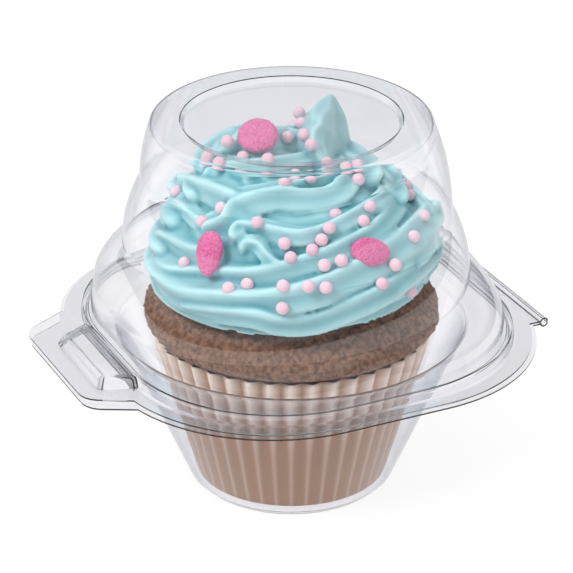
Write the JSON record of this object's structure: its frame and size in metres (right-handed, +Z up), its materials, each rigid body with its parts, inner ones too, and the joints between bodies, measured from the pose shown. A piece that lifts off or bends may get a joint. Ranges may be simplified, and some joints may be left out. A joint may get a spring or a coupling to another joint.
{
  "type": "cupcake box",
  "caption": "Clear hinged clamshell box with a swirled dome lid, holding a frosted cupcake in a pleated paper case.",
  "frame": {"origin": "under the middle of the footprint, on the surface it stands on; the cup axis is 2.45 mm nearer the hinge", "axes": "+Z up, +Y towards the hinge, -Y towards the closing tabs, +X to the right when seen from the tabs"},
  "size_m": [0.1148, 0.1244, 0.0993],
  "materials": {
    "clear_pet": "clear thermoformed plastic sheet, glossy",
    "case_paper": "pleated greaseproof paper, slightly translucent",
    "sponge": "baked sponge, open crumb, matt",
    "frosting": "whipped frosting, soft satin",
    "candy": "pressed sugar candy, grainy",
    "pearl": "sugar pearl, satin"
  },
  "bodies": {
    "base": {"base_tray": "clear_pet", "paper_case": "case_paper", "sponge_cake": "sponge", "frosting": "frosting", "candy_disc": "candy", "candy_drop": "candy", "candy_oval": "candy", "pearl_01": "pearl", "pearl_02": "pearl", "pearl_03": "pearl", "pearl_04": "pearl", "pearl_05": "pearl", "pearl_06": "pearl", "pearl_07": "pearl", "pearl_08": "pearl", "pearl_09": "pearl", "pearl_10": "pearl", "pearl_11": "pearl", "pearl_12": "pearl", "pearl_13": "pearl", "pearl_14": "pearl", "pearl_15": "pearl", "pearl_16": "pearl", "pearl_17": "pearl", "pearl_18": "pearl", "pearl_19": "pearl", "pearl_20": "pearl", "pearl_21": "pearl", "pearl_22": "pearl", "pearl_23": "pearl", "pearl_24": "pearl", "pearl_25": "pearl", "pearl_26": "pearl", "pearl_27": "pearl", "pearl_28": "pearl", "pearl_29": "pearl", "pearl_30": "pearl", "pearl_31": "pearl", "pearl_32": "pearl", "pearl_33": "pearl", "pearl_34": "pearl", "pearl_35": "pearl", "pearl_36": "pearl", "pearl_37": "pearl", "pearl_38": "pearl", "pearl_39": "pearl", "pearl_40": "pearl", "pearl_41": "pearl", "pearl_42": "pearl", "pearl_43": "pearl", "pearl_44": "pearl", "pearl_45": "pearl", "pearl_46": "pearl", "pearl_47": "pearl", "pearl_48": "pearl", "pearl_49": "pearl", "pearl_50": "pearl"},
    "lid": {"lid_dome": "clear_pet"}
  },
  "joints": [
    {"name": "lid_hinge", "type": "hinge", "parent": "base", "child": "lid", "pos_m": [0, 0.06225, 0.0423], "axis": [-1, 0, 0], "range_deg": [0, 150]}
  ]
}
